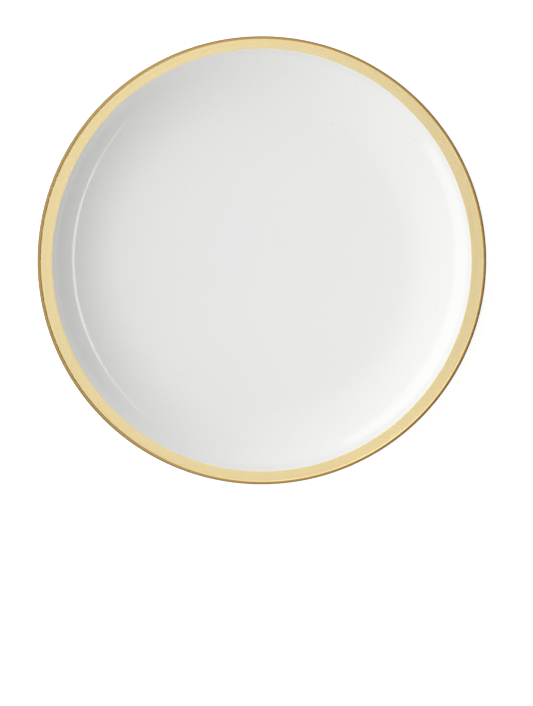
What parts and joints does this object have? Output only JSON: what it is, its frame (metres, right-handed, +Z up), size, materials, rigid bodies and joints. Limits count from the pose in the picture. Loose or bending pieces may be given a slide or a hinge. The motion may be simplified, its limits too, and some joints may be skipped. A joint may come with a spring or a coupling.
{
  "type": "dinner plate",
  "caption": "Deep coupe dinner plate in white porcelain: flat wide floor, steep gently curved wall with a gold band over the lip, and a tall flared foot with a bare standing face",
  "frame": {"origin": "on the plate's axis, in the plane that the foot stands on", "axes": "+Z up along the plate's axis of revolution, which is also its shortest side; +X and +Y are any two square directions across the plate, since it is round"},
  "size_m": [0.26, 0.26, 0.044],
  "materials": {
    "biscuit": "matte",
    "white_glaze": "gloss",
    "bright_gold": "polished"
  },
  "bodies": {
    "root": {"plate_body": "biscuit", "foot_ring": "biscuit", "luting_slip": "biscuit", "glaze_coat": "white_glaze", "glaze_base": "white_glaze", "gold_band_inside": "bright_gold", "gold_lip": "bright_gold", "gold_band_outside": "bright_gold"}
  },
  "joints": []
}
